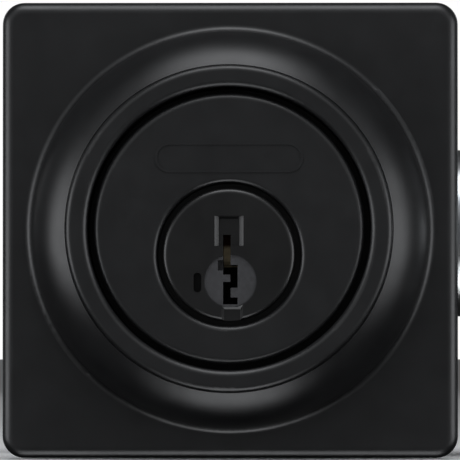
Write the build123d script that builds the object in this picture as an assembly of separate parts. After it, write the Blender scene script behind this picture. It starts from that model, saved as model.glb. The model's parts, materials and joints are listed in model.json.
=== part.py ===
"""Deadbolt door lock, standing as it is fitted in a door, with the door left out.

Millimetres. +Z is up, the exterior faces -Y and the bolt is thrown towards +X.
The origin is the centre of the cross bore, in the plane of the door's outside face.
Levels called from_axis are heights above the plug's axis.
"""
import os
from math import cos, radians, sin, sqrt

from build123d import *

# ---- Driving dimensions ----
# Door and clearances
door_thickness = 44.45
backset = 60.325
cross_bore_r = 27.0
edge_bore_r = 12.7
grip_gap = 0.02           # clearance of a pin or screw in the hole that holds it
run_gap = 0.05            # radial clearance of a shaft in its hole
slide_gap = 0.15          # clearance round a sliding piece
loose_gap = 0.3           # clearance between fixed pieces that don't locate each other
past = 1.0                # how far a cutting shape runs past the surface it cuts

# Exterior rose: square base and domed ring
rose_side = 66.675
rose_corner_r = 3.2
rose_depth = 4.2
rose_edge_r = 1.6
rose_wall = 1.6
dome_margin = 4.2875      # from the dome's foot to the middle of the square's side
dome_width = 5.25         # radial width of the dome
dome_start_angle = 30.0   # tilt of the dome's surface at its mouth
dome_end_angle = 88.0
dome_rise = 1.7           # straight step between base and dome
dome_foot_r = 1.0         # hollow rounding at the step's foot
dome_core_r = 1.0         # inner side of the turned outlines, cut away with the mouth
mouth_wall = 3.1          # length of the bore that the guard collar turns in

# Guard collar
collar_gap = 0.1          # radial clearance in the dome's mouth
collar_proud = 1.5
collar_wall = 3.3         # mouth radius less the collar's inner radius
collar_edge_r = 0.9
collar_length = 11.0
collar_groove_depth = 0.8
collar_groove_width = 1.2
collar_washer_width = 1.4
collar_washer_t = 0.5
collar_washer_spare = 0.1
retainer_width = 1.5
retainer_half_opening = 1.5

# Lock cylinder
face_recess = 0.8         # how far the face disc sits behind the collar's front
face_gap = 0.9            # width of the dark gap between the disc and the collar
face_edge_r = 0.9
badge_length = 21.5       # plain raised outline on the face disc
badge_height = 4.4
badge_line = 0.4
badge_rise = 0.15
badge_z = 10.3
badge_root = 0.2          # how far the outline reaches into the disc
barrel_wall = 2.0         # wall of the cylinder round the plug, behind its flange
barrel_set_back = 2.0     # from the barrel's back to the plug's back
flange_set_in = 0.8       # the flange's radius is this much less than the collar's
flange_gap = 0.4          # between the collar's back and the flange
flange_t = 2.5
cylinder_screw_x = 12.5
cylinder_screw_z = 14.0
cylinder_screw_r = 1.1
cylinder_screw_hole_r = 1.45
cylinder_screw_skin = 0.6     # metal left in front of the tapped hole
cylinder_screw_head_r = 2.4
cylinder_screw_head_t = 1.5
cylinder_slot_length = 4.0
cylinder_slot_width = 0.6
cylinder_slot_depth = 0.7
drill_pin_r = 1.2
drill_pin_spare = 3.05    # from the plug's surface to the pin's middle
drill_pin_skin = 2.2      # metal left in front of the pin

# Key plug
plug_drop = 3.75          # plug axis below the cross bore's centre
plug_body_r = 10.35
plug_step = 0.75          # how much slimmer the front end is, which leaves a dark groove round it
plug_face_depth = 5.0
plug_length = 23.0
plug_edge_r = 0.75        # rounding of the plug's rim and of the bore's rim
plug_web = 1.2            # solid left between the keyway and the blade's recess
clip_set_back = 1.6       # from the plug's back to its clip groove
clip_groove_width = 1.0
clip_groove_depth = 0.8
clip_t = 0.9
clip_width = 1.8
clip_half_opening = 2.0

# Keyway and the marks on the plug's face, all from_axis
key_width = 2.1
key_x = 0.2               # the keyway's middle stands this far right of the axis
key_top = 2.85
key_bottom = -7.2
key_ward_share = 0.52     # share of the keyway's width left beside a ward
key_ward_overlap = 0.05
right_ward_low = -6.2
right_ward_high = -4.8
right_shoulder = -1.5
left_ward_low = -3.95
left_ward_high = -2.9
pocket_depth = 0.56
upper_pocket = (-2.08, 2.1, 1.25, 5.6)      # left, right, low, high
upper_slopes = (0.6, 0.02, 0.05)            # how far the sides, low and high walls slope in
lower_pocket = (-1.1, 2.05, -10.0, -7.2)
lower_slopes = (0.4, 0.02, 0.7)
slit = (-1.4, 1.27, 5.15, 5.42)
slit_depth = 1.6
side_notch = (-1.6, -0.8, -2.3, -0.8)
side_notch_depth = 2.2
dimple_r = 3.87
dimple_depth = 0.3
dimple_x = 0.2
dimple_z = -3.82
tool_slot_length = 2.85
tool_slot_width = 1.1
tool_slot_x = -4.55
tool_slot_z = -4.05
tool_slot_depth = 3.5

# Wafers, their springs and the sidebar, all from_axis
wafer_count = 5
wafer_pitch = 2.5
wafer_lead = 1.2          # from the plug's slim front end to the first wafer's middle
wafer_t = 1.1
wafer_width = 8.0
wafer_travel = 1.6
wafer_low = -8.6
wafer_high = 3.4
wafer_rest = 0.06         # the wafer's lower edge stands this far off its slot's floor
window_half_width = 1.55
window_spare = 0.3        # below the keyway's lower end
window_top = -1.0
window_step = 0.35        # one depth of the key code
code_depths = 3
notch_side = 0.9
spring_top = 8.7
spring_wire_r = 0.13
spring_coil_r = 0.55
spring_spare = 0.12
spring_low_spare = 0.01
spring_turns = 5
sidebar_half_height = 0.9
sidebar_set_in = 0.1      # below the plug's surface
sidebar_gap = 0.06

# Chassis, its posts and the mounting screws
boss_gap = 1.0            # radial clearance of the chassis boss in the cross bore
boss_depth = 2.5          # how far the boss reaches into the cross bore
boss_root = 0.5
post_r = 3.3
post_clear = 0.3          # between a post and the cylinder's barrel
post_past_case = 1.5
post_hole_depth = 16.0
screw_r = 2.05
screw_reach = 11.0        # how far the screws enter, from the case's inner side
screw_head_r = 3.9
screw_head_t = 2.4
screw_head_edge_r = 1.0
screw_hole_spare = 0.2
cross_length = 4.0        # cross recess in a screw's head
cross_width = 0.8
cross_depth = 1.0

# Torque blade
blade_r = 3.0
blade_flat = 1.1
blade_head_r = 6.0
blade_head_t = 1.6
blade_head_spare = 0.4
blade_root = 0.2
blade_past_door = 3.5     # how far it enters the thumbturn's spindle
blade_end_spare = 0.7

# Latch: faceplates and sleeve
faceplate_height = 57.15
faceplate_t = 1.6
faceplate_corner_r = 6.35
faceplate_screw_spread = 41.3
faceplate_screw_r = 2.1
faceplate_screw_neck_r = 1.7
faceplate_hole_r = 2.4
faceplate_screw_head_r = 3.9
faceplate_screw_length = 22.0
faceplate_neck_past = 0.4     # the neck ends this far behind the backplate
screw_point_r = 0.4
screw_point_length = 3.0
countersink_gap = 0.03
sleeve_gap = 0.2          # radial clearance in the edge bore
sleeve_wall = 1.4
sleeve_past_bore = 0.125  # the sleeve starts this far past the cross bore

# Latch: bolt
bolt_gap = 0.25           # clearance in the sleeve and between the case plates
bolt_half_width = 7.1
bolt_edge_r = 0.6
bolt_throw = 25.4
bolt_tail_gap = 2.5       # between a post and the bolt's tail at rest
bolt_tail_t = 5.2
bolt_tail_length = 9.0
bolt_tail_low = 1.0
roller_r = 2.6
roller_z = -2.5
roller_skin = 8.0         # metal left in front of the hardened pin
roller_back_spare = 0.4
roller_front_spare = 0.2

# Latch: case
case_t = 1.2
case_height = 18.6
case_corner_r = 2.5
case_back_spare = 1.8
case_front_gap = 0.2      # the plates end this far behind the bolt's shoulder, in the sleeve's slots
spacer_r = 1.6
spacer_z = -7.2
spacer_neck = 0.5         # step between a spacer and its rivet end
spacer_head_t = 0.5
spacer_back = 3.0
spacer_before_post = 6.0

# Latch: hub and drive
hub_r = 6.5
journal_r = 5.0
finger_angle = 45.0       # tilt of the finger at each end of its travel
finger_tip_r = 2.4
finger_width = 3.2
finger_t = 4.6
drive_pin_r = 1.2
drive_pin_spare = 0.5     # between the finger's tip and each pin, at the ends of the travel
drive_pin_above = 0.95    # pins' height above the finger's tip at the ends of the travel
rivet_from_back = 4.0
rivet_z = 7.0
rivet_head_t = 0.6
rivet_head_lip = 0.6
link_t = 2.0
link_gap = 0.1            # between a link and the bolt's tail
link_low = 4.7
link_neck_top = 9.3
link_above_pins = 1.8
link_end = 2.4            # from a pin's middle to the link's end
link_corner_r = 1.6
link_overlap = 0.5        # the links end this far short of the bolt's shoulder

# Interior half
turn_rose_depth = 4.2
turn_dome_r = 27.0
turn_dome_height = 6.5
turn_dome_flat = 0.6      # straight part below the dome's rounding
turn_dome_inner_flat = 1.2
mount_plate_gap = 2.7     # between the mounting plate's rim and the rose's inner wall
mount_plate_t = 1.6
mount_plate_hole_r = 9.0
turn_base_r = 12.5
turn_base_t = 3.0
turn_base_edge_r = 1.2
turn_length = 43.0
turn_width = 9.0
turn_height = 17.0
turn_taper = 6.0
turn_edge_r = 1.6
spindle_r = 5.0
spindle_start = 0.6       # from the door's inside face
spindle_nose_r = 4.0      # D-shaped end fixed in the turn-piece
spindle_nose_flat = 2.48
spindle_nose_length = 6.0
spindle_nose_root = 0.5
spindle_clip_gap = 0.5
spindle_groove_depth = 0.7
spindle_clip_width = 1.7
spindle_clip_half_opening = 1.5
spindle_washer_width = 2.4
spindle_washer_t = 0.43
bushing_wall = 1.3
bushing_lip = 1.4
bushing_lip_t = 0.4
bushing_past_wall = 1.2
set_screw_r = 1.0
set_screw_y = 1.3         # from the door's inside face
set_screw_sunk = 0.2
set_screw_socket_r = 0.5
set_screw_socket_depth = 1.0

# ---- Worked out from the above ----
plug_z = -plug_drop
half_rose = rose_side / 2
dome_base_r = half_rose - dome_margin
dome_mouth_r = dome_base_r - dome_width
dome_arc_r = dome_width / (sin(radians(dome_end_angle)) - sin(radians(dome_start_angle)))
dome_height = dome_arc_r * (cos(radians(dome_start_angle)) - cos(radians(dome_end_angle)))
dome_base_y = -(rose_depth + dome_rise)
mouth_y = dome_base_y - dome_height
mouth_back_y = mouth_y + mouth_wall
chassis_r = dome_base_r - rose_wall - loose_gap
collar_front_y = mouth_y - collar_proud
collar_back_y = collar_front_y + collar_length
collar_r = dome_mouth_r - collar_gap
collar_inner_r = dome_mouth_r - collar_wall
collar_groove_y = mouth_back_y + collar_washer_t + collar_washer_spare
face_y = collar_front_y + face_recess
face_r = collar_inner_r - face_gap
flange_y = collar_back_y + flange_gap
flange_back_y = flange_y + flange_t
flange_r = collar_r - flange_set_in
barrel_r = plug_body_r + barrel_wall
drill_pin_x = plug_body_r + drill_pin_spare
plug_face_r = plug_body_r - plug_step
plug_back_y = face_y + plug_length
clip_groove_y = plug_back_y - clip_set_back
blade_recess = blade_head_t + blade_head_spare
mid_y = door_thickness / 2
post_x = sqrt((barrel_r + post_clear + post_r) ** 2 - plug_drop ** 2)
sleeve_r = edge_bore_r - sleeve_gap
sleeve_inner_r = sleeve_r - sleeve_wall
sleeve_back_x = cross_bore_r + sleeve_past_bore
sleeve_front_x = backset - 2 * faceplate_t
bolt_r = sleeve_inner_r - bolt_gap
bolt_back_x = post_x + post_r + bolt_tail_gap
bolt_shoulder_x = bolt_back_x + bolt_tail_length
rivet_x = bolt_back_x + rivet_from_back
case_half_gap = bolt_half_width + bolt_gap
case_outer = case_half_gap + case_t
finger_reach = bolt_throw / (2 * sin(radians(finger_angle)))
finger_side = finger_reach * sin(radians(finger_angle))
drive_pin_z = plug_z + finger_reach * cos(radians(finger_angle)) + drive_pin_above
drive_pin_half_gap = finger_tip_r + drive_pin_r + drive_pin_spare
drive_pin_places = (-finger_side - drive_pin_half_gap, -finger_side + drive_pin_half_gap)
case_back_x = drive_pin_places[0] - link_end - case_back_spare
case_front_x = bolt_shoulder_x - case_front_gap
spacer_places = (case_back_x + spacer_back, post_x - spacer_before_post, sleeve_back_x - spacer_back)
link_low_y = bolt_tail_t / 2 + link_gap
link_reach = link_low_y + link_t
mount_plate_r = half_rose - rose_wall - mount_plate_gap
turn_rose_y = door_thickness + turn_rose_depth + turn_dome_height     # outer face of the low dome
bushing_r = spindle_r + bushing_wall
bushing_back_y = turn_rose_y - rose_wall - bushing_past_wall
turn_y = turn_rose_y + bushing_lip_t + run_gap
spindle_groove_y = bushing_back_y - spindle_clip_gap - clip_groove_width


# ---- Basic shapes ----
def axial(radius, y_low, y_high, x=0.0, z=0.0):
    """A cylinder along Y between two Y values."""
    length = y_high - y_low
    return Pos(x, y_low + length / 2, z) * Rot(90, 0, 0) * Cylinder(radius, length)


def axial_ring(outer_r, inner_r, y_low, y_high, z=0.0):
    """A ring along Y between two Y values."""
    return axial(outer_r, y_low, y_high, 0, z) - axial(inner_r, y_low - past, y_high + past, 0, z)


def along_x(radius, x_low, x_high, y=0.0, z=0.0):
    """A cylinder along X between two X values."""
    length = x_high - x_low
    return Pos(x_low + length / 2, y, z) * Rot(0, 90, 0) * Cylinder(radius, length)


def along_z(radius, y, z_low, z_high, x=0.0):
    """A cylinder along Z between two Z values."""
    length = z_high - z_low
    return Pos(x, y, z_low + length / 2) * Cylinder(radius, length)


def block(x_low, x_high, y_low, y_high, z_low, z_high):
    """A box given by its limits."""
    size = (x_high - x_low, y_high - y_low, z_high - z_low)
    centre = ((x_high + x_low) / 2, (y_high + y_low) / 2, (z_high + z_low) / 2)
    return Pos(*centre) * Box(*size)


def side_range(middle, side, near, far):
    """Two Y values on one side of a middle plane, the lower first."""
    return sorted((middle + side * near, middle + side * far))


def square_slab(side, corner_r, y_low, y_high):
    """A square with rounded corners, standing on the XZ plane, between two Y values."""
    slab = extrude(Plane.XZ * RectangleRounded(side, side, corner_r), y_high - y_low, dir=(0, 1, 0))
    return Pos(0, y_low, 0) * slab


def d_bar(radius, flat, y_low, y_high):
    """A bar on the plug's axis with one flat on its upper side."""
    bar = axial(radius, y_low, y_high, 0, plug_z)
    side = radius + past
    return bar - block(-side, side, y_low - past, y_high + past, plug_z + flat, plug_z + side)


def front_edges(shape):
    """Edges of the face that looks furthest to the exterior."""
    return shape.faces().sort_by(Axis.Y)[0].edges()


def back_edges(shape):
    """Edges of the face that looks furthest to the interior."""
    return shape.faces().sort_by(Axis.Y)[-1].edges()


def circles_at(shape, radius, y):
    """Round edges of one radius at one Y value."""
    found = shape.edges().filter_by(GeomType.CIRCLE)
    return [e for e in found if abs(e.radius - radius) < grip_gap and abs(e.center().Y - y) < grip_gap]


def save(shape, node):
    """Write one node's STEP file."""
    shape.label = node
    export_step(shape, f"parts/{node}.step")


# ---- Exterior half ----
def dome_solid(base_r, arc_r, floor_y):
    """A domed disc from a floor up to the dome's mouth, its side straight up to the dome's foot."""
    foot_centre = base_r - arc_r * sin(radians(dome_end_angle))
    centre_y = dome_base_y + arc_r * cos(radians(dome_end_angle))
    angles = [dome_end_angle, (dome_end_angle + dome_start_angle) / 2, dome_start_angle]
    arc = [(foot_centre + arc_r * sin(radians(a)), centre_y - arc_r * cos(radians(a)), 0) for a in angles]
    inner = Polyline(arc[2], (dome_core_r, arc[2][1], 0), (dome_core_r, floor_y, 0), (base_r, floor_y, 0))
    outline = Wire([Line((base_r, floor_y, 0), arc[0]), ThreePointArc(*arc), *inner.edges()])
    return revolve(make_face(outline), Axis.Y)


def exterior_rose():
    """Square base plate and domed ring in one shell, open behind, with a bore for the collar."""
    slab = square_slab(rose_side, rose_corner_r, -rose_depth, 0)
    slab = fillet(front_edges(slab), rose_edge_r)
    rose = slab + dome_solid(dome_base_r, dome_arc_r, -rose_depth / 2)
    rose = fillet(circles_at(rose, dome_base_r, -rose_depth), dome_foot_r)
    inner_side = rose_side - 2 * rose_wall
    rose -= square_slab(inner_side, rose_corner_r / 2, rose_wall - rose_depth, past)
    inner_r = dome_base_r - rose_wall
    hollow = dome_solid(inner_r, dome_arc_r - rose_wall, past)
    rose -= hollow & axial(inner_r, mouth_back_y, 2 * past)
    return rose - axial(dome_mouth_r, mouth_y - past, past)


def guard_collar():
    """Free-turning ring round the face disc, with a groove for its retaining ring."""
    ring = axial_ring(collar_r, collar_inner_r, collar_front_y, collar_back_y)
    ring = fillet(circles_at(ring, collar_r, collar_front_y), collar_edge_r)
    ring = fillet(circles_at(ring, collar_inner_r, collar_front_y), collar_edge_r)
    groove_end = collar_groove_y + collar_groove_width
    return ring - axial_ring(collar_r + past, collar_r - collar_groove_depth, collar_groove_y, groove_end)


def collar_retainer():
    """Open ring in the collar's groove."""
    low = collar_groove_y + slide_gap / 2
    high = low + collar_groove_width - slide_gap
    outer_r = collar_r + retainer_width
    half = retainer_half_opening
    ring = axial_ring(outer_r, collar_r - collar_groove_depth + run_gap, low, high)
    return ring - block(-half, half, low - past, high + past, -outer_r - past, 0)


def collar_washer():
    outer_r = collar_r + collar_washer_width
    return axial_ring(outer_r, collar_r + run_gap, mouth_back_y, mouth_back_y + collar_washer_t)


def chassis_posts(radius, y_low, y_high):
    """Two cylinders where the mounting screws run."""
    return axial(radius, y_low, y_high, -post_x) + axial(radius, y_low, y_high, post_x)


def exterior_housing():
    """Cast chassis: a disc behind the cylinder's flange, with two tapped posts."""
    body = axial(chassis_r, flange_back_y, 0)
    body += axial_ring(chassis_r, flange_r + run_gap, flange_y, flange_back_y)
    body += axial(cross_bore_r - boss_gap, -boss_root, boss_depth)
    body -= axial(barrel_r + run_gap, flange_back_y - past, boss_depth + past, 0, plug_z)
    post_end = mid_y + case_outer + post_past_case
    body += chassis_posts(post_r, 0, post_end)
    body -= chassis_posts(screw_r + grip_gap, post_end - post_hole_depth, post_end + past)
    for side in (-1, 1):
        body -= axial(cylinder_screw_hole_r, flange_back_y - past, boss_depth + past,
                      side * cylinder_screw_x, cylinder_screw_z)
    return body


def drill_pin(side, spare=0.0):
    """Hardened pin, or its hole, beside the keyway from the back of the flange forward."""
    return axial(drill_pin_r - spare, face_y + drill_pin_skin, flange_back_y, side * drill_pin_x, plug_z)


def face_badge():
    """A plain raised outline above the plug."""
    outline = SlotOverall(badge_length, badge_height)
    outline -= SlotOverall(badge_length - 2 * badge_line, badge_height - 2 * badge_line)
    raised = extrude(Plane.XZ * outline, badge_rise + badge_root, dir=(0, -1, 0))
    return Pos(0, face_y + badge_root, badge_z) * raised


def cylinder_body():
    """Face disc, flange and barrel in one, with the bore for the plug."""
    body = axial(face_r, face_y, flange_back_y)
    body = fillet(front_edges(body), face_edge_r)
    body += axial(flange_r, flange_y, flange_back_y)
    body += axial(barrel_r, flange_y, plug_back_y - barrel_set_back, 0, plug_z)
    body -= axial(plug_body_r + run_gap, face_y - past, plug_back_y, 0, plug_z)
    body = fillet(circles_at(body, plug_body_r + run_gap, face_y), plug_edge_r)
    for side in (-1, 1):
        body -= axial(cylinder_screw_r, flange_y + cylinder_screw_skin, flange_back_y + past,
                      side * cylinder_screw_x, cylinder_screw_z)
        body -= drill_pin(side)
    return body + face_badge()


def drill_guards():
    return Compound(children=[drill_pin(side, run_gap) for side in (-1, 1)])


def cylinder_screws():
    """Two screws from the back of the housing into the cylinder's flange."""
    screws = []
    head_end = boss_depth + cylinder_screw_head_t
    z = cylinder_screw_z
    for side in (-1, 1):
        x = side * cylinder_screw_x
        point_y = flange_y + cylinder_screw_skin + slide_gap
        screw = axial(cylinder_screw_r - grip_gap, point_y, boss_depth, x, z)
        screw += axial(cylinder_screw_head_r, boss_depth, head_end, x, z)
        slot = block(x - cylinder_slot_length / 2, x + cylinder_slot_length / 2,
                     head_end - cylinder_slot_depth, head_end + past,
                     z - cylinder_slot_width / 2, z + cylinder_slot_width / 2)
        screws.append(screw - slot)
    return Compound(children=screws)


# ---- Key plug ----
def key_hole():
    """The keyway in the plug, with a ward on each side, ending in a web of solid metal."""
    left = key_x - key_width / 2
    right = key_x + key_width / 2
    right_ward = left + key_width * key_ward_share
    left_ward = right_ward - key_ward_overlap
    points = [(left, key_bottom), (right, key_bottom), (right, right_ward_low), (right_ward, right_ward_low),
              (right_ward, right_ward_high), (right, right_ward_high), (right, right_shoulder),
              (right_ward, right_shoulder), (right_ward, key_top), (left, key_top), (left, left_ward_high),
              (left_ward, left_ward_high), (left_ward, left_ward_low), (left, left_ward_low)]
    front = face_y - past
    wire = Polyline(*[(x, front, z) for x, z in points], close=True)
    hole = extrude(make_face(wire), plug_back_y - blade_recess - plug_web - front, dir=(0, 1, 0))
    return Pos(0, 0, plug_z) * hole


def pocket_ring(x_low, x_high, z_low, z_high, y):
    """One rectangle of a pocket, facing the front."""
    corners = [(x_low, y, z_low), (x_high, y, z_low), (x_high, y, z_high), (x_low, y, z_high)]
    return make_face(Polyline(*corners, close=True))


def tapered_pocket(place, slopes):
    """A pocket in the plug's face, narrower at its floor."""
    x_low, x_high, z_low, z_high = place
    side, low, high = slopes
    mouth = pocket_ring(x_low, x_high, z_low, z_high, face_y)
    floor = pocket_ring(x_low + side, x_high - side, z_low + low, z_high - high, face_y + pocket_depth)
    return Pos(0, 0, plug_z) * loft([mouth, floor])


def straight_notch(place, depth):
    """A notch in the plug's face with straight walls."""
    x_low, x_high, z_low, z_high = place
    return block(x_low, x_high, face_y - past, face_y + depth, plug_z + z_low, plug_z + z_high)


def plug_marks():
    """Everything cut into the plug's face beside the keyway."""
    cut = Pos(dimple_x, 0, plug_z + dimple_z) * axial(dimple_r, face_y - past, face_y + dimple_depth)
    cut += tapered_pocket(upper_pocket, upper_slopes)
    cut += tapered_pocket(lower_pocket, lower_slopes)
    cut += straight_notch(slit, slit_depth)
    cut += straight_notch(side_notch, side_notch_depth)
    slot = SlotOverall(tool_slot_length, tool_slot_width, rotation=90)
    slot = Plane.XZ * Pos(tool_slot_x, tool_slot_z, 0) * slot
    cut += Pos(0, face_y - past, plug_z) * extrude(slot, tool_slot_depth + past, dir=(0, 1, 0))
    return cut


def wafer_y(index):
    """Middle of a wafer, counted from the front."""
    return face_y + plug_face_depth + wafer_lead + wafer_pitch * index


def wafer_chamber(index):
    """The space across the plug that a wafer slides in, with its travel above it."""
    y = wafer_y(index)
    half_t = wafer_t / 2 + run_gap
    half_w = wafer_width / 2 + run_gap
    high = plug_z + wafer_high + wafer_travel + run_gap
    return block(-half_w, half_w, y - half_t, y + half_t, plug_z + wafer_low, high)


def spring_pocket(index):
    radius = spring_coil_r + spring_wire_r + spring_spare
    return along_z(radius, wafer_y(index), plug_z + wafer_high, plug_z + spring_top)


def clip_groove():
    cut_r = plug_body_r - clip_groove_depth
    return axial_ring(plug_body_r + past, cut_r, clip_groove_y, clip_groove_y + clip_groove_width, plug_z)


def key_plug():
    plug = axial(plug_face_r, face_y, face_y + plug_face_depth + past, 0, plug_z)
    plug = fillet(front_edges(plug), plug_edge_r)
    plug += axial(plug_body_r, face_y + plug_face_depth, plug_back_y, 0, plug_z)
    plug -= axial(blade_head_r + run_gap, plug_back_y - blade_recess, plug_back_y + past, 0, plug_z)
    plug -= clip_groove()
    plug -= key_hole()
    plug -= plug_marks()
    for index in range(wafer_count):
        plug -= wafer_chamber(index)
        plug -= spring_pocket(index)
    return plug - sidebar_block(sidebar_gap, plug_body_r + past)


def sidebar_block(gap, outer_x):
    """Space of the locking bar along the right side of the plug."""
    front = wafer_y(0) - wafer_t - gap
    back = wafer_y(wafer_count - 1) + wafer_t + gap
    half = sidebar_half_height + gap
    inner_x = wafer_width / 2 + slide_gap - gap
    return block(inner_x, outer_x, front, back, plug_z - half, plug_z + half)


def sidebar():
    """The locking bar, drawn in flush with the plug."""
    return sidebar_block(0, plug_body_r) & axial(plug_body_r - sidebar_set_in, face_y, plug_back_y, 0, plug_z)


def wafer(index):
    """A brass plate with a window for the key, at the height its spring leaves it."""
    y = wafer_y(index)
    half_w = wafer_width / 2
    low = plug_z + wafer_low + wafer_rest
    plate = block(-half_w, half_w, y - wafer_t / 2, y + wafer_t / 2, low, plug_z + wafer_high)
    window_high = plug_z + window_top - window_step * (index % code_depths)
    window = block(-window_half_width, window_half_width, y - wafer_t, y + wafer_t,
                   plug_z + key_bottom - window_spare, window_high)
    notch = Pos(half_w, y, plug_z) * Rot(0, 45, 0) * Box(notch_side, 2 * wafer_t, notch_side)
    return plate - window - notch


def wafer_spring(index):
    """Coil spring between a wafer and the top of its pocket."""
    low = plug_z + wafer_high + spring_wire_r + spring_low_spare
    high = plug_z + spring_top - spring_wire_r - grip_gap
    path = Helix((high - low) / spring_turns, high - low, spring_coil_r)
    section = Plane(origin=path @ 0, z_dir=path % 0) * Circle(spring_wire_r)
    return Pos(0, wafer_y(index), low) * sweep(section, path, is_frenet=True)


def plug_clip():
    """Clip behind the cylinder's barrel that keeps the plug in."""
    low = clip_groove_y + (clip_groove_width - clip_t) / 2
    high = low + clip_t
    outer_r = plug_body_r + clip_width
    ring = axial_ring(outer_r, plug_body_r - clip_groove_depth + run_gap, low, high, plug_z)
    half = clip_half_opening
    return ring - block(-half, half, low - past, high + past, plug_z, plug_z + outer_r + past)


def torque_blade():
    """Flat-sided bar from the plug through the hub into the thumbturn's spindle."""
    head = axial(blade_head_r, plug_back_y - blade_head_t, plug_back_y, 0, plug_z)
    return head + d_bar(blade_r, blade_flat, plug_back_y - blade_root, door_thickness + blade_past_door)


# ---- Latch ----
def latch_hub():
    """Hub with its two journals, a D hole for the blade and the finger that drives the bolt."""
    body_half = case_half_gap - slide_gap
    hub = axial(hub_r, mid_y - body_half, mid_y + body_half, 0, plug_z)
    hub += axial(journal_r, mid_y - case_outer, mid_y + case_outer, 0, plug_z)
    finger = block(-finger_width / 2, finger_width / 2, -finger_t / 2, finger_t / 2, 0, finger_reach)
    finger += axial(finger_tip_r, -finger_t / 2, finger_t / 2, 0, finger_reach)
    hub += Pos(0, mid_y, plug_z) * Rot(0, -finger_angle, 0) * finger
    hole_end = case_outer + past
    return hub - d_bar(blade_r + run_gap, blade_flat + run_gap, mid_y - hole_end, mid_y + hole_end)


def case_plate(side):
    """One side plate of the case, with the hub's bearing hole and two post holes."""
    low, high = side_range(mid_y, side, case_half_gap, case_outer)
    plate = block(case_back_x, case_front_x, low, high, -case_height / 2, case_height / 2)
    corners = [e for e in plate.edges().filter_by(Axis.Y) if e.center().X < 0]
    plate = fillet(corners, case_corner_r)
    plate -= axial(journal_r + run_gap, low - past, high + past, 0, plug_z)
    plate -= chassis_posts(post_r + loose_gap, low - past, high + past)
    for x in spacer_places:
        plate -= axial(spacer_r - spacer_neck, low - past, high + past, x, spacer_z)
    return plate


def case_spacers():
    """Riveted spacers that hold the two plates apart."""
    rods = []
    head_end = case_outer + spacer_head_t
    for x in spacer_places:
        rod = axial(spacer_r, mid_y - case_half_gap, mid_y + case_half_gap, x, spacer_z)
        rod += axial(spacer_r - spacer_neck - grip_gap, mid_y - case_outer, mid_y + case_outer, x, spacer_z)
        for side in (-1, 1):
            low, high = side_range(mid_y, side, case_outer, head_end)
            rod += axial(spacer_r, low, high, x, spacer_z)
        rods.append(rod)
    return Compound(children=rods)


def latch_sleeve():
    """Round tube in the edge bore, slotted at its back for the case plates."""
    tube = along_x(sleeve_r, sleeve_back_x, sleeve_front_x, mid_y, 0)
    tube -= along_x(sleeve_inner_r, sleeve_back_x - past, sleeve_front_x + past, mid_y, 0)
    half = case_height / 2 + grip_gap
    for side in (-1, 1):
        low, high = side_range(mid_y, side, case_half_gap - grip_gap, case_outer + grip_gap)
        tube -= block(sleeve_back_x - past, case_front_x, low, high, -half, half)
    return tube


def bolt_prism(x_low, x_high, grow=0.0):
    """The bolt's section, a circle with flat sides, extruded along X."""
    section = Circle(bolt_r + grow) & Rectangle(2 * (bolt_half_width + grow), 2 * (bolt_r + grow) + past)
    across = Plane(origin=(x_low, mid_y, 0), x_dir=(0, 1, 0), z_dir=(1, 0, 0))
    return extrude(across * section, x_high - x_low)


def deadbolt():
    """Flat-sided round bolt with a tail for the links and a bore for its hardened pin."""
    bolt = bolt_prism(bolt_back_x, backset)
    bolt = fillet(bolt.faces().sort_by(Axis.X)[-1].edges(), bolt_edge_r)
    back = bolt_back_x - past
    for side in (-1, 1):
        low, high = side_range(mid_y, side, bolt_tail_t / 2, bolt_half_width + past)
        bolt -= block(back, bolt_shoulder_x, low, high, -bolt_r - past, bolt_r + past)
    bolt -= block(back, bolt_shoulder_x, mid_y - bolt_half_width, mid_y + bolt_half_width,
                  -bolt_r - past, bolt_tail_low)
    bolt -= axial(drive_pin_r + grip_gap, mid_y - bolt_tail_t, mid_y + bolt_tail_t, rivet_x, rivet_z)
    return bolt - along_x(roller_r + run_gap, bolt_shoulder_x - past, backset - roller_skin, mid_y, roller_z)


def bolt_roller_pin():
    low = bolt_shoulder_x + roller_back_spare
    return along_x(roller_r, low, backset - roller_skin - roller_front_spare, mid_y, roller_z)


def bolt_link(side):
    """Flat bar from the bolt's tail to the two drive pins that the hub's finger pushes."""
    low, high = side_range(mid_y, side, link_low_y, link_reach)
    back = drive_pin_places[0] - link_end
    bar = block(back, bolt_shoulder_x - link_overlap, low, high, link_low, link_neck_top)
    head = block(back, drive_pin_places[1] + link_end, low, high, link_low, drive_pin_z + link_above_pins)
    bar += fillet(head.edges().filter_by(Axis.Y).sort_by(Axis.Z)[-2:], link_corner_r)
    for x in drive_pin_places:
        bar -= axial(drive_pin_r + grip_gap, low - past, high + past, x, drive_pin_z)
    return bar - axial(drive_pin_r + grip_gap, low - past, high + past, rivet_x, rivet_z)


def drive_pins():
    low = mid_y - link_reach
    high = mid_y + link_reach
    return Compound(children=[axial(drive_pin_r, low, high, x, drive_pin_z) for x in drive_pin_places])


def link_rivet():
    """Rivet through the bolt's tail and both links, headed at each end."""
    head_end = link_reach + rivet_head_t
    rod = axial(drive_pin_r, mid_y - link_reach, mid_y + link_reach, rivet_x, rivet_z)
    for side in (-1, 1):
        low, high = side_range(mid_y, side, link_reach, head_end)
        rod += axial(drive_pin_r + rivet_head_lip, low, high, rivet_x, rivet_z)
    return rod


def plate_blank(x_low, x_high):
    """Edge plate with rounded corners and the bolt's opening."""
    across = Plane(origin=(x_low, mid_y, 0), x_dir=(0, 1, 0), z_dir=(1, 0, 0))
    outline = RectangleRounded(2 * edge_bore_r, faceplate_height, faceplate_corner_r)
    blank = extrude(across * outline, x_high - x_low)
    return blank - bolt_prism(x_low - past, x_high + past, slide_gap)


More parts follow.
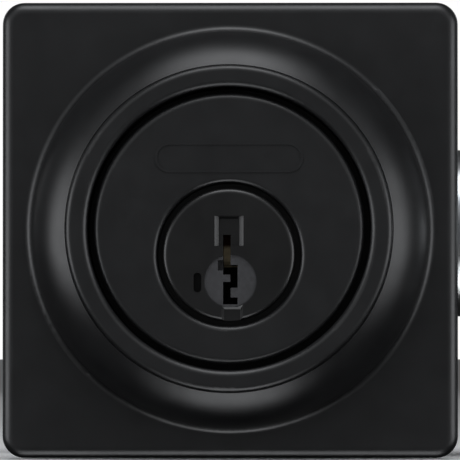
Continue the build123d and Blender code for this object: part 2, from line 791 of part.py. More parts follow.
def screw_cone(z, gap=0.0):
    """Countersunk head of a faceplate screw, or its countersink."""
    depth = faceplate_screw_head_r - faceplate_screw_neck_r
    cone = Cone(faceplate_screw_neck_r + gap, faceplate_screw_head_r + gap, depth)
    return Pos(backset - depth / 2, mid_y, z) * Rot(0, 90, 0) * cone


def latch_faceplate():
    """Cover plate on the door's edge, countersunk for the two screws."""
    plate = plate_blank(backset - faceplate_t, backset)
    for side in (-1, 1):
        plate -= screw_cone(side * faceplate_screw_spread / 2, countersink_gap)
    return plate


def latch_backplate():
    """Plate behind the faceplate, which the sleeve is crimped to."""
    plate = plate_blank(sleeve_front_x, backset - faceplate_t)
    for side in (-1, 1):
        z = side * faceplate_screw_spread / 2
        plate -= along_x(faceplate_hole_r, sleeve_front_x - past, backset, mid_y, z)
        plate -= screw_cone(z, countersink_gap)
    return plate


def faceplate_screws():
    """Two countersunk wood screws into the door's edge."""
    screws = []
    half = cross_length / 2
    thin = cross_width / 2
    point_x = backset - faceplate_screw_length
    neck_x = sleeve_front_x - faceplate_neck_past
    for side in (-1, 1):
        z = side * faceplate_screw_spread / 2
        screw = screw_cone(z)
        screw += along_x(faceplate_screw_r, point_x, neck_x, mid_y, z)
        screw += along_x(faceplate_screw_neck_r, neck_x - grip_gap, backset - cross_depth, mid_y, z)
        point = Cone(screw_point_r, faceplate_screw_r, screw_point_length)
        screw += Pos(point_x - screw_point_length / 2, mid_y, z) * Rot(0, 90, 0) * point
        floor_x = backset - cross_depth
        cross = block(floor_x, backset + past, mid_y - thin, mid_y + thin, z - half, z + half)
        cross += block(floor_x, backset + past, mid_y - half, mid_y + half, z - thin, z + thin)
        screws.append(screw - cross)
    return Compound(children=screws)


# ---- Interior half ----
def interior_mount_plate():
    """Round plate against the door that the mounting screws pull up."""
    low = door_thickness
    high = low + mount_plate_t
    plate = axial(mount_plate_r, low, high) - axial(mount_plate_hole_r, low - past, high + past, 0, plug_z)
    return plate - chassis_posts(screw_r + screw_hole_spare, low - past, high + past)


def mounting_screws():
    """Two long screws from the interior plate into the housing's tapped posts."""
    screws = []
    half = cross_length / 2
    thin = cross_width / 2
    seat = door_thickness + mount_plate_t
    head_end = seat + screw_head_t
    for side in (-1, 1):
        x = side * post_x
        head = axial(screw_head_r, seat, head_end, x)
        head = fillet(back_edges(head), screw_head_edge_r)
        shank = axial(screw_r, mid_y + case_outer - screw_reach, seat + past / 2, x)
        floor_y = head_end - cross_depth
        cross = block(x - half, x + half, floor_y, head_end + past, -thin, thin)
        cross += block(x - thin, x + thin, floor_y, head_end + past, -half, half)
        screws.append(head + shank - cross)
    return Compound(children=screws)


def turn_dome(radius, y_low, y_high, straight):
    """Low round dome with a generous rounding."""
    dome = axial(radius, y_low, y_high)
    return fillet(back_edges(dome), turn_dome_height - straight)


def interior_rose():
    """Square cover with a low dome, hollow behind, with holes for the bushing and its set screw."""
    low = door_thickness
    slab_end = low + turn_rose_depth
    slab = square_slab(rose_side, rose_corner_r, low, slab_end)
    slab = fillet(back_edges(slab), rose_edge_r)
    rose = slab + turn_dome(turn_dome_r, low + past, turn_rose_y, turn_dome_flat)
    rose -= square_slab(rose_side - 2 * rose_wall, rose_corner_r / 2, low - past, slab_end - rose_wall)
    rose -= turn_dome(turn_dome_r - rose_wall, low - past, turn_rose_y - rose_wall, turn_dome_inner_flat)
    rose -= axial(bushing_r + grip_gap, turn_rose_y - rose_wall - past, turn_rose_y + past, 0, plug_z)
    hole_high = -half_rose + rose_wall + past
    return rose - along_z(set_screw_r + grip_gap, low + set_screw_y, -half_rose - past, hole_high)


def rose_set_screw():
    """Small screw through the rose's lower edge that reaches the mounting plate's rim."""
    y = door_thickness + set_screw_y
    low = -half_rose + set_screw_sunk
    screw = along_z(set_screw_r, y, low, -mount_plate_r - grip_gap)
    return screw - along_z(set_screw_socket_r, y, low - past, low + set_screw_socket_depth)


def thumbturn_bushing():
    """Plain bearing in the rose with a thin lip under the turn-piece."""
    lip_end = turn_rose_y + bushing_lip_t
    bush = axial(bushing_r, bushing_back_y, lip_end, 0, plug_z)
    bush += axial(bushing_r + bushing_lip, turn_rose_y, lip_end, 0, plug_z)
    return bush - axial(spindle_r + run_gap, bushing_back_y - past, lip_end + past, 0, plug_z)


def thumbturn():
    """Oval turn-piece on a round base."""
    base = axial(turn_base_r, turn_y, turn_y + turn_base_t, 0, plug_z)
    base = fillet(back_edges(base), turn_base_edge_r)
    oval = Plane.XZ * SlotOverall(turn_length, turn_width, rotation=90)
    grip = extrude(oval, turn_height, dir=(0, 1, 0), taper=turn_taper)
    grip = fillet(back_edges(grip), turn_edge_r)
    turn = base + Pos(0, turn_y, plug_z) * grip
    nose_end = turn_y + spindle_nose_length + grip_gap
    return turn - d_bar(spindle_nose_r + grip_gap, spindle_nose_flat + grip_gap, turn_y - past, nose_end)


def thumbturn_spindle():
    """Shaft fixed in the turn-piece, with a D hole for the torque blade."""
    low = door_thickness + spindle_start
    shaft = axial(spindle_r, low, turn_y, 0, plug_z)
    nose_end = turn_y + spindle_nose_length
    shaft += d_bar(spindle_nose_r, spindle_nose_flat, turn_y - spindle_nose_root, nose_end)
    groove_end = spindle_groove_y + clip_groove_width
    groove_r = spindle_r - spindle_groove_depth
    shaft -= axial_ring(spindle_r + past, groove_r, spindle_groove_y, groove_end, plug_z)
    hole_end = door_thickness + blade_past_door + blade_end_spare
    return shaft - d_bar(blade_r + run_gap, blade_flat + run_gap, low - past, hole_end)


def thumbturn_clip():
    low = spindle_groove_y + (clip_groove_width - clip_t) / 2
    high = low + clip_t
    outer_r = spindle_r + spindle_clip_width
    ring = axial_ring(outer_r, spindle_r - spindle_groove_depth + run_gap, low, high, plug_z)
    half = spindle_clip_half_opening
    return ring - block(-half, half, low - past, high + past, plug_z - outer_r - past, plug_z)


def thumbturn_washer():
    high = bushing_back_y - grip_gap
    outer_r = spindle_r + spindle_washer_width
    return axial_ring(outer_r, spindle_r + run_gap, high - spindle_washer_t, high, plug_z)


def main():
    os.makedirs("parts", exist_ok=True)
    pieces = {
        "exterior_rose": exterior_rose(),
        "guard_collar": guard_collar(),
        "collar_retainer": collar_retainer(),
        "collar_washer": collar_washer(),
        "exterior_housing": exterior_housing(),
        "cylinder_body": cylinder_body(),
        "cylinder_screws": cylinder_screws(),
        "drill_guards": drill_guards(),
        "key_plug": key_plug(),
        "sidebar": sidebar(),
        "plug_clip": plug_clip(),
        "torque_blade": torque_blade(),
        "hub_cam": latch_hub(),
        "latch_case_left": case_plate(-1),
        "latch_case_right": case_plate(1),
        "case_spacers": case_spacers(),
        "latch_sleeve": latch_sleeve(),
        "deadbolt": deadbolt(),
        "bolt_roller_pin": bolt_roller_pin(),
        "bolt_link_left": bolt_link(-1),
        "bolt_link_right": bolt_link(1),
        "drive_pins": drive_pins(),
        "link_rivet": link_rivet(),
        "latch_faceplate": latch_faceplate(),
        "latch_backplate": latch_backplate(),
        "faceplate_screws": faceplate_screws(),
        "interior_mount_plate": interior_mount_plate(),
        "mounting_screws": mounting_screws(),
        "interior_rose": interior_rose(),
        "rose_set_screw": rose_set_screw(),
        "thumbturn": thumbturn(),
        "thumbturn_spindle": thumbturn_spindle(),
        "thumbturn_bushing": thumbturn_bushing(),
        "thumbturn_washer": thumbturn_washer(),
        "thumbturn_clip": thumbturn_clip(),
    }
    for index in range(wafer_count):
        pieces[f"wafer_{index + 1}"] = wafer(index)
        pieces[f"wafer_spring_{index + 1}"] = wafer_spring(index)
    for node, shape in pieces.items():
        save(shape, node)


main()
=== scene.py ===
import json
import math

import bpy
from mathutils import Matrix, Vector


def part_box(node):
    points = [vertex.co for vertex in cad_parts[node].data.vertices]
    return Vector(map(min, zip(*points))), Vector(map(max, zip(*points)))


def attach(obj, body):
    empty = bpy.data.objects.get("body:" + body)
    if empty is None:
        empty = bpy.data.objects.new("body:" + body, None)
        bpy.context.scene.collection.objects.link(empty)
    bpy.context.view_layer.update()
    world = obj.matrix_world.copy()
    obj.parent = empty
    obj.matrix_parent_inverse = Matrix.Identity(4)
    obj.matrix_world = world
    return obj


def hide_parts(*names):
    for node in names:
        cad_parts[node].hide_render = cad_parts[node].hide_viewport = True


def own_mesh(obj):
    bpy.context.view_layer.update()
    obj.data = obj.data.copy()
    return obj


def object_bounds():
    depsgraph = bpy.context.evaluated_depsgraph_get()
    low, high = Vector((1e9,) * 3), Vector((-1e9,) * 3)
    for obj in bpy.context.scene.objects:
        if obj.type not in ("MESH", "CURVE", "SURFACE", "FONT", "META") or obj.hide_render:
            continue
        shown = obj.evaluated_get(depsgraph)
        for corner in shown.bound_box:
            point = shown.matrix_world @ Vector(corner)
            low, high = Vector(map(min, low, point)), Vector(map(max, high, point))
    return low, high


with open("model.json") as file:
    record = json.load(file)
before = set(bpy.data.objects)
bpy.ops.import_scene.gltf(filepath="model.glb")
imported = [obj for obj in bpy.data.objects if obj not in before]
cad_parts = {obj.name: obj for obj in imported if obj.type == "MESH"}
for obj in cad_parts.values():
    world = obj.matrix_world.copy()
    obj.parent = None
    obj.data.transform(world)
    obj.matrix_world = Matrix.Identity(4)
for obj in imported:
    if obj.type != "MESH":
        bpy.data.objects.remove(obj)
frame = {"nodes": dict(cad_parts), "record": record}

cad_low, cad_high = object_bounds()
MM = 0.001

# ---- Sizes shared with the CAD model, millimetres ----
backset = 60.325
door_mid = 22.225
screw_spread = 41.3
wood_screw_r = 2.1
wood_screw_neck_r = 1.7
wood_screw_head_r = 3.9
wood_screw_length = 22.0
wood_screw_point = 3.0
wood_screw_pitch = 1.7
wood_screw_neck_end = 3.6     # the thread starts this far behind the faceplate's front
wood_thread_depth = 0.55
post_x = 15.503
plate_back = 46.05
machine_screw_r = 2.05
machine_screw_pitch = 0.8
machine_thread_depth = 0.32
machine_screw_point = 19.775
machine_head_r = 3.9
machine_head_t = 2.4
cross_half_length = 2.0       # cross recess in a screw's head
cross_half_width = 0.55
wood_cross_depth = 1.0
machine_cross_depth = 1.1
cross_end_slope = 0.45        # share of each arm's half length that slopes
cross_side_slope = 0.5        # share of each arm's half width that slopes
thread_run_in = 0.8           # length over which a thread rises to its full depth
thread_flank_share = 0.8      # share of the pitch that a thread's two flanks take
wafer_count = 5
spring_wire_r = 0.13
spring_coil_r = 0.55
spring_turns = 5
dimple_x = 0.2
dimple_z = -7.57
dimple_r = 3.87
painted_shade_low = -2.9                # painted shade darkens the wafers between these two heights, fully above the higher one
painted_shade_high = -2.3

# ---- How finely the meshes are divided ----
screw_sides = 48
screw_head_rings = 26
wood_thread_steps = 120
machine_thread_steps = 240
spring_wire_sides = 10
spring_turn_steps = 28
screw_sharp_angle = math.radians(38)
spring_sharp_angle = math.radians(50)

# ---- Camera: long lens, a little to the right of the lock's axis and a little below it ----
camera_distance = 0.9
camera_side_angle = math.radians(0.8)
camera_down_angle = math.radians(1.1)
field_width = 67.26 * MM          # width of the view at the square cover's front
cover_front = -4.2 * MM
sensor_width = 36.0

# ---- Light ----
# what the surfaces see, by how nearly a direction points to the camera's side (1 is straight at it)
surround_high = ((0.0, 0.025), (0.28, 0.03), (0.48, 0.45), (0.86, 0.50), (0.965, 0.16), (1.0, 0.12))
surround_low = ((0.0, 0.01), (0.30, 0.01), (0.52, 0.06), (0.86, 0.10), (0.965, 0.13), (1.0, 0.12))
low_surround_end = -0.75      # surround_low holds below this height of a direction, surround_high from 0 up
light_tint = (0.955, 0.972, 1.0)
panel_distance = 0.55
floor_reach = 8.0
floor_gap = 0.2 * MM


# ---- Material building blocks ----
class Shader:
    """A Principled material with short helpers for its procedural nodes."""

    def __init__(self, name):
        self.material = bpy.data.materials.new(name)
        self.material.use_nodes = True
        self.tree = self.material.node_tree
        self.body = self.tree.nodes["Principled BSDF"]
        self.coords = self.tree.nodes.new("ShaderNodeTexCoord").outputs["Object"]

    def node(self, kind, **settings):
        made = self.tree.nodes.new(kind)
        for key, value in settings.items():
            setattr(made, key, value)
        return made

    def link(self, source, target):
        self.tree.links.new(source, target)

    def stretch(self, scale):
        mapping = self.node("ShaderNodeMapping")
        mapping.inputs["Scale"].default_value = scale
        self.link(self.coords, mapping.inputs["Vector"])
        return mapping.outputs["Vector"]

    def noise(self, scale, detail=4.0, roughness=0.5, vector=None):
        made = self.node("ShaderNodeTexNoise")
        made.inputs["Scale"].default_value = scale
        made.inputs["Detail"].default_value = detail
        made.inputs["Roughness"].default_value = roughness
        self.link(vector or self.coords, made.inputs["Vector"])
        return made.outputs["Fac"]

    def cells(self, scale, vector=None):
        made = self.node("ShaderNodeTexVoronoi")
        made.inputs["Scale"].default_value = scale
        self.link(vector or self.coords, made.inputs["Vector"])
        return made.outputs["Distance"]

    def range(self, value, low, high, from_low=0.3, from_high=0.7):
        made = self.node("ShaderNodeMapRange")
        made.inputs["From Min"].default_value = from_low
        made.inputs["From Max"].default_value = from_high
        made.inputs["To Min"].default_value = low
        made.inputs["To Max"].default_value = high
        self.link(value, made.inputs["Value"])
        return made.outputs["Result"]

    def math(self, operation, first, second):
        made = self.node("ShaderNodeMath", operation=operation)
        for socket, value in zip(made.inputs, (first, second)):
            if isinstance(value, (int, float)):
                socket.default_value = value
            else:
                self.link(value, socket)
        return made.outputs[0]

    def blend(self, factor, first, second):
        """A colour between two, each a triple or another colour socket."""
        made = self.node("ShaderNodeMix", data_type="RGBA")
        self.link(factor, made.inputs["Factor"])
        for key, colour in (("A", first), ("B", second)):
            if isinstance(colour, tuple):
                made.inputs[key].default_value = (*colour, 1)
            else:
                self.link(colour, made.inputs[key])
        return made.outputs["Result"]

    def colour(self, socket):
        self.link(socket, self.body.inputs["Base Color"])

    def roughness(self, socket):
        self.link(socket, self.body.inputs["Roughness"])

    def bump(self, height, distance, strength=1.0, below=None):
        made = self.node("ShaderNodeBump")
        made.inputs["Distance"].default_value = distance
        made.inputs["Strength"].default_value = strength
        self.link(height, made.inputs["Height"])
        if below is not None:
            self.link(below, made.inputs["Normal"])
        return made.outputs["Normal"]

    def normal(self, socket):
        self.link(socket, self.body.inputs["Normal"])

    def spot(self, x, z, radius):
        """1 inside a circle on the face that looks to the exterior, 0 outside it, with a soft edge."""
        place = self.node("ShaderNodeVectorMath", operation="SUBTRACT")
        self.link(self.coords, place.inputs[0])
        place.inputs[1].default_value = (x, 0, z)
        flat = self.node("ShaderNodeVectorMath", operation="MULTIPLY")
        self.link(place.outputs["Vector"], flat.inputs[0])
        flat.inputs[1].default_value = (1, 0, 1)
        distance = self.node("ShaderNodeVectorMath", operation="LENGTH")
        self.link(flat.outputs["Vector"], distance.inputs[0])
        return self.range(distance.outputs["Value"], 1, 0, radius * 0.95, radius * 1.01)

    def set(self, **values):
        for key, value in values.items():
            self.body.inputs[key.replace("_", " ")].default_value = value


def black_coat(name, dark, light, rough_low, rough_high, grain=0.000012):
    """Satin black coating: fine grain over a slight orange peel, slow changes of sheen."""
    shader = Shader(name)
    shader.colour(shader.blend(shader.range(shader.noise(260), 0, 1), dark, light))
    shader.roughness(shader.range(shader.noise(90, 6, 0.6), rough_low, rough_high))
    peel = shader.bump(shader.noise(600, 2, 0.5), 0.00002, 0.25)
    shader.normal(shader.bump(shader.noise(5200, 3, 0.6), grain, 0.35, peel))
    shader.set(Metallic=0.0, IOR=1.5)
    return shader.material


def plug_coat(name):
    """The plug's black, with the shallow round dimple round the keyway worn to a lighter dull grey."""
    shader = Shader(name)
    cloud = shader.range(shader.noise(260), 0, 1)
    coat = shader.blend(cloud, (0.0042, 0.0042, 0.0042), (0.0066, 0.0066, 0.0066))
    specks = shader.range(shader.noise(1500, 5), 0, 1)
    worn = shader.blend(specks, (0.030, 0.030, 0.032), (0.041, 0.041, 0.044))
    inside = shader.spot(dimple_x * MM, dimple_z * MM, dimple_r * MM)
    shader.colour(shader.blend(inside, coat, worn))
    sheen = shader.range(shader.noise(90, 6, 0.6), 0.32, 0.40)
    shader.roughness(shader.math("ADD", sheen, shader.math("MULTIPLY", inside, 0.12)))
    turned = shader.noise(3000, 3, 0.6)
    shader.normal(shader.bump(turned, 0.00001, 0.4))
    shader.set(Metallic=0.0, IOR=1.5)
    return shader.material


def worked_metal(name, dark, light, rough_low, rough_high, lines, depth, scratch=0.35):
    """Plated or drawn metal: slow tarnish, fine lines stretched along one axis and a few scratches."""
    shader = Shader(name)
    tarnish = shader.range(shader.noise(140, 6, 0.6), 0, 1)
    shader.colour(shader.blend(tarnish, dark, light))
    fine = shader.noise(1100, 5, 0.65, shader.stretch(lines))
    streaks = shader.noise(420, 2, 0.5, shader.stretch((lines[1], lines[0], 6)))
    scratches = shader.range(streaks, 0, 1, 0.62, 0.70)
    sheen = shader.range(fine, rough_low, rough_high)
    shader.roughness(shader.math("ADD", sheen, shader.math("MULTIPLY", scratches, 0.08)))
    base = shader.bump(fine, depth, 0.5)
    shader.normal(shader.bump(scratches, depth, scratch, base))
    shader.set(Metallic=1.0)
    return shader.material


def brass_with_painted_shade(name, dark, light):
    """Stamped brass, with painted shade darkening it above the key's path."""
    shader = Shader(name)
    tarnish = shader.range(shader.noise(500, 6, 0.6), 0, 1)
    # Painted shade: by height, the brass turns a dark red-brown above the key's path, standing in for the
    # shadow on the wafers' upper part.
    height = shader.node("ShaderNodeSeparateXYZ")
    shader.link(shader.coords, height.inputs[0])
    painted_shade = shader.range(height.outputs["Z"], 0, 1, painted_shade_low * MM, painted_shade_high * MM)
    unshaded = shader.blend(tarnish, dark, light)
    # the dark red-brown here is the painted shade's colour
    shader.colour(shader.blend(painted_shade, unshaded, (0.03, 0.012, 0.008)))
    lines = shader.noise(1400, 4, 0.6, shader.stretch((1, 1, 7)))
    shader.roughness(shader.range(lines, 0.28, 0.46))
    shader.normal(shader.bump(lines, 0.00001, 0.5))
    shader.set(Metallic=1.0)
    return shader.material


def cast_metal(name, dark, light):
    """Die-cast zinc: dull, mottled, with a pebbled skin and small flow marks."""
    shader = Shader(name)
    mottle = shader.range(shader.noise(220, 8, 0.7), 0, 1)
    shader.colour(shader.blend(mottle, dark, light))
    pebbles = shader.cells(1300)
    shader.roughness(shader.range(pebbles, 0.42, 0.62, 0.0, 0.6))
    skin = shader.bump(pebbles, 0.00003, 0.5)
    flow_marks = shader.noise(300, 4, 0.6, shader.stretch((1, 1, 5)))
    shader.normal(shader.bump(flow_marks, 0.00004, 0.3, skin))
    shader.set(Metallic=1.0)
    return shader.material


def moulded_nylon(name):
    """Pale moulded plastic with a faint bloom and a fine matt skin."""
    shader = Shader(name)
    bloom = shader.range(shader.noise(150, 4), 0, 1)
    shader.colour(shader.blend(bloom, (0.70, 0.69, 0.65), (0.80, 0.79, 0.76)))
    shader.roughness(shader.range(shader.noise(200, 5), 0.38, 0.52))
    shader.normal(shader.bump(shader.noise(4000, 3), 0.00001, 0.4))
    shader.set(IOR=1.53, Subsurface_Weight=0.08)
    shader.body.inputs["Subsurface Radius"].default_value = (0.001, 0.001, 0.001)
    return shader.material


materials = {
    "black_finish": black_coat("satin_black", (0.0055, 0.0056, 0.006), (0.0085, 0.0087, 0.0092), 0.36, 0.44),
    "black_plug": plug_coat("plug_black"),
    "black_screws": black_coat("black_oxide", (0.012, 0.012, 0.013), (0.026, 0.025, 0.024), 0.34, 0.5,
                               0.00002),
    "cast_zinc": cast_metal("cast_zinc", (0.34, 0.34, 0.35), (0.46, 0.46, 0.47)),
    "zinc_steel": worked_metal("zinc_plated_steel", (0.50, 0.53, 0.56), (0.66, 0.66, 0.64), 0.26, 0.42,
                               (1, 9, 1), 0.000012),
    "spring_steel": worked_metal("spring_steel", (0.31, 0.31, 0.32), (0.45, 0.45, 0.46), 0.25, 0.36,
                                 (1, 1, 8), 0.000008),
    "hardened_steel": worked_metal("hardened_steel", (0.22, 0.22, 0.24), (0.36, 0.36, 0.39), 0.22, 0.36,
                                   (12, 1, 1), 0.000006),
    "bolt_steel": worked_metal("satin_steel", (0.48, 0.48, 0.48), (0.60, 0.60, 0.59), 0.24, 0.38,
                               (1, 16, 16), 0.00001),
    "brass": brass_with_painted_shade("brass", (0.33, 0.27, 0.18), (0.52, 0.43, 0.27)),
    "white_nylon": moulded_nylon("nylon"),
}
slot_of = {entry["node"]: entry["material_slot"] for entry in frame["record"]["subparts"]}


def dress_cad_nodes():
    """Give every CAD node the material of its slot in the record."""
    for node, slot in slot_of.items():
        mesh = frame["nodes"][node].data
        mesh.materials.clear()
        mesh.materials.append(materials[slot])


# ---- Pieces made here in place of CAD nodes ----
def smooth_faces(mesh, sharp_angle):
    mesh.polygons.foreach_set("use_smooth", [True] * len(mesh.polygons))
    mesh.set_sharp_from_angle(angle=sharp_angle)


def add_piece(name, mesh, body, node):
    """Link a mesh as a piece that rides on a body and takes a node's material slot."""
    mesh.materials.append(materials[slot_of[node]])
    piece = bpy.data.objects.new(name, mesh)
    bpy.context.scene.collection.objects.link(piece)
    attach(piece, body)
    return piece


# ---- Threaded screws with cross recesses, in place of the plain CAD ones ----
def cross_depth(x, y, deep):
    """Depth of a cross recess at a point of the head, with sloping ends and sides."""
    def arm(along, across):
        end = (cross_half_length - abs(along)) / (cross_end_slope * cross_half_length)
        side = (cross_half_width - abs(across)) / (cross_side_slope * cross_half_width)
        return max(0.0, min(1.0, end)) * max(0.0, min(1.0, side))
    return deep * max(arm(x, y), arm(y, x))


def screw_outline(head, shank, steps):
    """Points from the head's middle to the tip: (radius, depth, how much thread, is on the head)."""
    points = []
    face_r, face_depth = head[0]
    for ring in range(screw_head_rings + 1):
        points.append((face_r * ring / screw_head_rings, face_depth, 0.0, True))
    points += [(r, depth, 0.0, False) for r, depth in head[1:]]
    thread_start, thread_end, radius, tip_r, tip_length = shank
    for step in range(steps + 1):
        depth = thread_start + (thread_end - thread_start) * step / steps
        into_tip = max(0.0, (depth - (thread_end - tip_length)) / tip_length)
        start = min(1.0, (depth - thread_start) / thread_run_in)
        fade = 1 - into_tip * 0.6
        points.append((radius + (tip_r - radius) * into_tip, depth, start * fade, False))
    points.append((0.0, thread_end, 0.0, False))
    return points


def screw_mesh(name, outline, pitch, thread_depth, recess_depth, turn, place):
    """One screw as a turned mesh with a helical thread; depth runs from the head's face to the tip."""
    verts = []
    faces = []
    for radius, depth, thread, on_head in outline:
        for step in range(screw_sides):
            angle = 2 * math.pi * step / screw_sides
            phase = (depth / pitch - angle / (2 * math.pi)) % 1.0
            ridge = 1.0 - min(1.0, abs(phase - 0.5) * 2 / thread_flank_share)
            reach = radius - thread * thread_depth * (1.0 - ridge)
            x = reach * math.cos(angle)
            y = reach * math.sin(angle)
            sunk = cross_depth(x, y, recess_depth) if on_head else 0.0
            verts.append(turn @ Vector((x, y, depth + sunk)) + place)
    for ring in range(len(outline) - 1):
        for step in range(screw_sides):
            a = ring * screw_sides + step
            b = ring * screw_sides + (step + 1) % screw_sides
            faces.append((a, b, b + screw_sides, a + screw_sides))
    mesh = bpy.data.meshes.new(name)
    mesh.from_pydata([v * MM for v in verts], [], faces)
    mesh.validate()
    smooth_faces(mesh, screw_sharp_angle)
    return mesh


def make_wood_screws():
    """Countersunk screws of the faceplate, heads towards +X, tips into the door's edge."""
    cone = wood_screw_head_r - wood_screw_neck_r
    head = [(wood_screw_head_r - 0.02, 0.02), (wood_screw_head_r, 0.06), (wood_screw_neck_r, cone),
            (wood_screw_neck_r, wood_screw_neck_end)]
    tip_end = wood_screw_length + wood_screw_point
    shank = (wood_screw_neck_end, tip_end, wood_screw_r, 0.3, wood_screw_point * 1.6)
    outline = screw_outline(head, shank, wood_thread_steps)
    turn = Vector((-1, 0, 0)).to_track_quat("Z", "Y").to_matrix()
    for side, label in ((1, "upper"), (-1, "lower")):
        name = f"faceplate_screw_{label}"
        place = Vector((backset, door_mid, side * screw_spread / 2))
        mesh = screw_mesh(name, outline, wood_screw_pitch, wood_thread_depth, wood_cross_depth, turn, place)
        screw = add_piece(name, mesh, "housing", "faceplate_screws")
        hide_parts("faceplate_screws")


def make_machine_screws():
    """Long mounting screws, pan heads towards +Y, tips in the housing's posts."""
    top = plate_back + machine_head_t
    head = [(machine_head_r - 1.0, 0.0), (machine_head_r - 0.6, 0.08), (machine_head_r - 0.25, 0.35),
            (machine_head_r - 0.04, 0.75), (machine_head_r, 1.1), (machine_head_r, machine_head_t - 0.02),
            (machine_screw_r - 0.05, machine_head_t)]
    tip_end = top - machine_screw_point
    shank = (machine_head_t + 0.1, tip_end, machine_screw_r, machine_screw_r - 0.6, 0.9)
    outline = screw_outline(head, shank, machine_thread_steps)
    turn = Vector((0, -1, 0)).to_track_quat("Z", "X").to_matrix()
    for side, label in ((-1, "left"), (1, "right")):
        name = f"mounting_screw_{label}"
        place = Vector((side * post_x, top, 0))
        mesh = screw_mesh(name, outline, machine_screw_pitch, machine_thread_depth, machine_cross_depth, turn,
                          place)
        screw = add_piece(name, mesh, "housing", "mounting_screws")
        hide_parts("mounting_screws")


# ---- Wafer springs, coils of round wire built in the CAD springs' boxes ----
def spring_mesh(name, low, high):
    """A closed coil of round wire that fills the height between two corners."""
    sides = spring_wire_sides
    steps = spring_turns * spring_turn_steps
    centre = (low + high) / 2
    wire = spring_wire_r * MM
    coil = spring_coil_r * MM
    rise = high.z - low.z - 2 * wire
    verts = []
    for step in range(steps + 1):
        angle = 2 * math.pi * step / spring_turn_steps
        middle_z = low.z + wire + rise * step / steps
        for side in range(sides):
            turn = 2 * math.pi * side / sides
            reach = coil + wire * math.cos(turn)
            height = middle_z + wire * math.sin(turn)
            verts.append((centre.x + reach * math.cos(angle), centre.y + reach * math.sin(angle), height))
    first_end = tuple(range(sides))
    last_end = tuple(reversed(range(steps * sides, (steps + 1) * sides)))
    faces = [first_end, last_end]
    for step in range(steps):
        for side in range(sides):
            a = step * sides + side
            b = step * sides + (side + 1) % sides
            faces.append((a, a + sides, b + sides, b))
    mesh = bpy.data.meshes.new(name)
    mesh.from_pydata(verts, [], faces)
    smooth_faces(mesh, spring_sharp_angle)
    return mesh


def make_wafer_springs():
    for number in range(1, wafer_count + 1):
        node = f"wafer_spring_{number}"
        low, high = (Vector(corner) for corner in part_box(node))
        name = f"coil_{number}"
        spring = add_piece(name, spring_mesh(name, low, high), "plug", node)
        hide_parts(node)
        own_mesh(spring)


# ---- Stage ----
def make_camera():
    data = bpy.data.cameras.new("camera")
    camera = bpy.data.objects.new("camera", data)
    bpy.context.scene.collection.objects.link(camera)
    target = Vector((0, cover_front, 0))
    way = Vector((math.sin(camera_side_angle), -1.0, -math.sin(camera_down_angle))).normalized()
    camera.location = target + way * camera_distance
    camera.rotation_mode = "QUATERNION"
    camera.rotation_quaternion = (-way).to_track_quat("-Z", "Y")
    data.sensor_width = sensor_width
    data.lens = sensor_width * camera_distance / field_width
    data.clip_start = 0.05
    data.clip_end = 20
    bpy.context.scene.camera = camera


def add_panel(name, place, size, power):
    data = bpy.data.lights.new(name, "AREA")
    data.shape = "RECTANGLE"
    data.size, data.size_y = size
    data.energy = power
    data.color = light_tint
    lamp = bpy.data.objects.new(name, data)
    lamp.location = place
    lamp.rotation_mode = "QUATERNION"
    lamp.rotation_quaternion = (-Vector(place)).to_track_quat("-Z", "Z")
    lamp.visible_camera = False
    bpy.context.scene.collection.objects.link(lamp)


def make_lights():
    d = panel_distance
    add_panel("top_panel", (0, -0.38 * d, d), (0.40, 0.36), 2.0)
    add_panel("left_panel", (-d, -0.40 * d, 0.0), (0.36, 0.40), 1.75)
    add_panel("right_panel", (d, -0.42 * d, 0.0), (0.38, 0.40), 1.6)
    add_panel("bottom_panel", (0, -0.44 * d, -d), (0.40, 0.40), 2.05)
    add_panel("back_left_panel", (-0.65, 1.0, 0.3), (0.6, 0.7), 1.0)
    add_panel("back_right_panel", (0.65, 1.0, 0.3), (0.6, 0.7), 0.8)


def direction_ramp(tree, value, stops):
    """A strength that follows one number of the direction: stops are (position, strength)."""
    ramp = tree.nodes.new("ShaderNodeValToRGB")
    ramp.color_ramp.interpolation = "EASE"
    marks = ramp.color_ramp.elements
    while len(marks) < len(stops):
        marks.new(0.5)
    for mark, (position, strength) in zip(marks, stops):
        mark.position = position
        mark.color = (*(strength * part for part in light_tint), 1)
    tree.links.new(value, ramp.inputs["Fac"])
    return ramp.outputs["Color"]


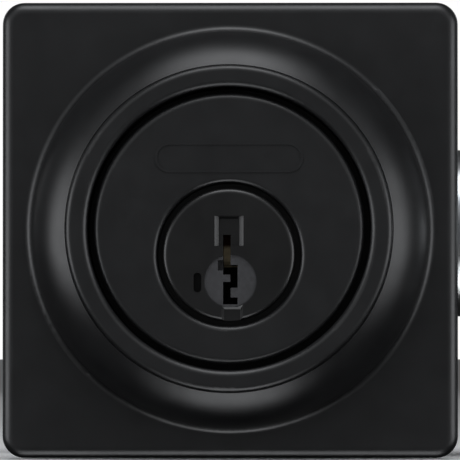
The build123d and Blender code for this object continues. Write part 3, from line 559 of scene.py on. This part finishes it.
def make_world():
    """White behind the lock; what the surfaces see is a soft ring round the camera, dim below and behind."""
    world = bpy.data.worlds.new("studio")
    world.use_nodes = True
    tree = world.node_tree
    shown = tree.nodes["Background"]
    shown.inputs["Color"].default_value = (1, 1, 1, 1)
    shown.inputs["Strength"].default_value = 1.0
    split = tree.nodes.new("ShaderNodeSeparateXYZ")
    tree.links.new(tree.nodes.new("ShaderNodeTexCoord").outputs["Generated"], split.inputs[0])
    flip = tree.nodes.new("ShaderNodeMath")
    flip.operation = "MULTIPLY"
    flip.inputs[1].default_value = -1.0
    tree.links.new(split.outputs["Y"], flip.inputs[0])
    above = tree.nodes.new("ShaderNodeMapRange")
    above.interpolation_type = "SMOOTHSTEP"
    above.inputs["From Min"].default_value = low_surround_end
    above.inputs["From Max"].default_value = 0.0
    tree.links.new(split.outputs["Z"], above.inputs["Value"])
    mix_height = tree.nodes.new("ShaderNodeMix")
    mix_height.data_type = "RGBA"
    tree.links.new(above.outputs["Result"], mix_height.inputs["Factor"])
    tree.links.new(direction_ramp(tree, flip.outputs[0], surround_low), mix_height.inputs["A"])
    tree.links.new(direction_ramp(tree, flip.outputs[0], surround_high), mix_height.inputs["B"])
    felt = tree.nodes.new("ShaderNodeBackground")
    tree.links.new(mix_height.outputs["Result"], felt.inputs["Color"])
    path = tree.nodes.new("ShaderNodeLightPath")
    mix = tree.nodes.new("ShaderNodeMixShader")
    tree.links.new(path.outputs["Is Camera Ray"], mix.inputs["Fac"])
    tree.links.new(felt.outputs["Background"], mix.inputs[1])
    tree.links.new(shown.outputs["Background"], mix.inputs[2])
    tree.links.new(mix.outputs["Shader"], tree.nodes["World Output"].inputs["Surface"])
    bpy.context.scene.world = world


def make_floor():
    mesh = bpy.data.meshes.new("floor")
    level = cad_low.z - floor_gap
    ends = ((-1, -1), (1, -1), (1, 1), (-1, 1))
    corners = [(x * floor_reach, y * floor_reach, level) for x, y in ends]
    mesh.from_pydata(corners, [], [(0, 1, 2, 3)])
    floor = bpy.data.objects.new("floor", mesh)
    bpy.context.scene.collection.objects.link(floor)
    shader = Shader("pale_floor")
    shader.colour(shader.blend(shader.noise(3), (0.84, 0.84, 0.84), (0.88, 0.88, 0.88)))
    shader.set(Roughness=0.9)
    mesh.materials.append(shader.material)
    floor.visible_glossy = False


bpy.context.scene.view_settings.view_transform = "Standard"
make_camera()
make_world()
make_lights()
make_floor()
dress_cad_nodes()
make_wood_screws()
make_machine_screws()
make_wafer_springs()
